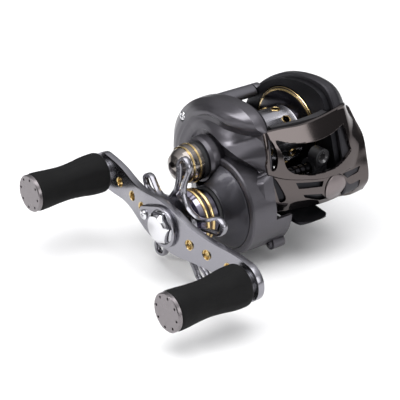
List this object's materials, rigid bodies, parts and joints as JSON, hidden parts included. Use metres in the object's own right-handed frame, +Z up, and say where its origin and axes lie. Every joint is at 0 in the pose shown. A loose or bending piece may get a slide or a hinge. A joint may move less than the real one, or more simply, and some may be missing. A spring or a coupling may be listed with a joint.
{
  "type": "baitcasting reel",
  "caption": "Low-profile right-hand baitcasting reel with double-knob handle, star drag, levelwind, thumb-bar clutch and cast control.",
  "frame": {"origin": "centre of the underside of the foot, on the rod seat", "axes": "+X along the spool axis towards the handle, +Y to the front where the line leaves, +Z up from the rod"},
  "size_m": [0.1131, 0.1004, 0.0629],
  "materials": {
    "frame_metal": "black anodised, satin",
    "matte_bridge": "matte moulded",
    "black_anodised": "black anodised, satin",
    "bright_steel": "ground stainless steel",
    "gunmetal_paint": "satin metallic paint",
    "charcoal_paint": "satin metallic paint",
    "dark_gunmetal_paint": "matte metallic paint",
    "black_chrome": "black chrome plate",
    "satin_badge": "satin",
    "chrome_screw": "polished",
    "satin_grey_bar": "satin",
    "black_spool": "black anodised",
    "champagne_gold": "gold anodised",
    "satin_aluminium": "satin anodised, bright edges",
    "black_moulded": "moulded",
    "black_rubber": "moulded",
    "smoked_chrome": "smoked chrome plate",
    "brass": "machined",
    "carbon_washer": "woven carbon fibre",
    "white_acetal": "moulded acetal",
    "polished_lilac": "polished anodised",
    "bright_chrome": "polished chrome plate",
    "eva_foam": "closed-cell EVA foam, matte",
    "brushed_gunmetal": "brushed, gunmetal anodised",
    "ceramic_ring": "polished ceramic"
  },
  "bodies": {
    "casing": {"frame": "frame_metal", "top_bridge": "matte_bridge", "reel_foot": "black_anodised", "foot_screws": "bright_steel", "gear_side_plate": "gunmetal_paint", "gear_dome": "charcoal_paint", "palm_side_plate": "dark_gunmetal_paint", "front_cover": "black_chrome", "badge_disc": "satin_badge", "case_screws": "chrome_screw", "palm_bearing": "bright_steel", "cap_bearing": "bright_steel", "gear_bearings": "bright_steel", "worm_bushes": "black_moulded", "cap_collar": "gunmetal_paint", "cap_o_ring": "black_rubber", "one_way_bearing": "bright_steel", "dome_seal": "black_rubber", "yoke_posts": "bright_steel", "yoke_springs": "bright_steel", "guide_rail": "bright_steel"},
    "spool": {"spool": "black_spool", "spool_rim_rings": "champagne_gold", "spool_shaft": "bright_steel", "brake_rotor": "satin_aluminium"},
    "handle": {"drive_shaft": "bright_steel", "drive_gear": "brass", "drag_washers": "carbon_washer", "clutch_sleeve": "bright_steel", "ratchet_wheel": "bright_steel", "level_wind_gear": "white_acetal", "drag_sleeve": "polished_lilac", "sleeve_rings": "champagne_gold", "handle_arm": "satin_aluminium", "hole_rings": "champagne_gold", "handle_nut": "bright_chrome", "nut_retainer": "satin_aluminium", "retainer_screw": "chrome_screw", "knob_posts": "bright_steel"},
    "front_knob": {"knob_grip_front": "eva_foam", "knob_cap_front": "brushed_gunmetal"},
    "rear_knob": {"knob_grip_rear": "eva_foam", "knob_cap_rear": "brushed_gunmetal"},
    "star": {"star_wheel": "satin_aluminium"},
    "drag_nut": {"drag_nut": "brass"},
    "thumb_bar": {"thumb_bar": "satin_grey_bar"},
    "yoke": {"clutch_yoke": "white_acetal"},
    "pinion": {"pinion_gear": "brass"},
    "worm": {"worm_shaft": "bright_steel", "worm_gear": "white_acetal"},
    "guide": {"line_guide": "black_moulded", "guide_insert": "ceramic_ring", "guide_pawl": "brass"},
    "pawl": {"ratchet_pawl": "brass"},
    "cap": {"cast_control_cap": "smoked_chrome", "cap_ring": "champagne_gold", "tension_shim": "brass"},
    "dial": {"brake_dial": "black_moulded"},
    "magnets": {"magnet_holder": "black_moulded", "brake_magnets": "bright_steel"}
  },
  "joints": [
    {"name": "handle_turn", "type": "hinge", "parent": "casing", "child": "handle", "pos_m": [0.03, 0.00781, 0.0061], "axis": [1, 0, 0], "continuous": true},
    {"name": "spool_spin", "type": "hinge", "parent": "casing", "child": "spool", "pos_m": [0, -0.002, 0.0224], "axis": [1, 0, 0], "continuous": true},
    {"name": "thumb_press", "type": "slide", "parent": "casing", "child": "thumb_bar", "axis": [0, 0, -1], "range_m": [0, 0.0035], "stiffness_N_per_m": 300, "springref_m": -0.002},
    {"name": "yoke_slide", "type": "slide", "parent": "casing", "child": "yoke", "axis": [1, 0, 0], "range_m": [0, 0.0016], "deforming": ["yoke_springs"]},
    {"name": "pinion_spin", "type": "hinge", "parent": "yoke", "child": "pinion", "pos_m": [0.02, -0.002, 0.0224], "axis": [1, 0, 0], "continuous": true},
    {"name": "worm_spin", "type": "hinge", "parent": "casing", "child": "worm", "pos_m": [0, 0.0186, 0.01652], "axis": [1, 0, 0], "continuous": true},
    {"name": "guide_slide", "type": "slide", "parent": "casing", "child": "guide", "axis": [1, 0, 0], "range_m": [-0.0004, 0.0174]},
    {"name": "front_knob_spin", "type": "hinge", "parent": "handle", "child": "front_knob", "pos_m": [0.067, 0.05021, 0.00029], "axis": [1, 0, 0], "continuous": true},
    {"name": "rear_knob_spin", "type": "hinge", "parent": "handle", "child": "rear_knob", "pos_m": [0.067, -0.03459, 0.01191], "axis": [1, 0, 0], "continuous": true},
    {"name": "star_turn", "type": "hinge", "parent": "handle", "child": "star", "pos_m": [0.047, 0.00781, 0.0061], "axis": [1, 0, 0], "range_deg": [-180, 180]},
    {"name": "drag_nut_slide", "type": "slide", "parent": "star", "child": "drag_nut", "axis": [1, 0, 0], "range_m": [-0.0004, 0.0004]},
    {"name": "cap_turn", "type": "hinge", "parent": "casing", "child": "cap", "pos_m": [0.038, -0.002, 0.0224], "axis": [1, 0, 0], "range_deg": [-180, 180]},
    {"name": "brake_dial_turn", "type": "hinge", "parent": "casing", "child": "dial", "pos_m": [-0.027, -0.002, 0.0224], "axis": [1, 0, 0], "range_deg": [0, 270]},
    {"name": "magnet_slide", "type": "slide", "parent": "casing", "child": "magnets", "axis": [1, 0, 0], "range_m": [0, 0.00188]},
    {"name": "pawl_swing", "type": "hinge", "parent": "casing", "child": "pawl", "pos_m": [0.017, -0.0052, 0.0112], "axis": [1, 0, 0], "range_deg": [0, 20]}
  ],
  "couplings": [
    {"joint": "spool_spin", "follows": "handle_turn", "ratio": -5.9091},
    {"joint": "pinion_spin", "follows": "handle_turn", "ratio": -5.9091},
    {"joint": "worm_spin", "follows": "handle_turn", "ratio": -2.3333},
    {"joint": "yoke_slide", "follows": "thumb_press", "ratio": 0.45714},
    {"joint": "drag_nut_slide", "follows": "star_turn", "m_per_rad": 0.00011937},
    {"joint": "brake_dial_turn", "follows": "magnet_slide", "rad_per_m": 2500}
  ]
}
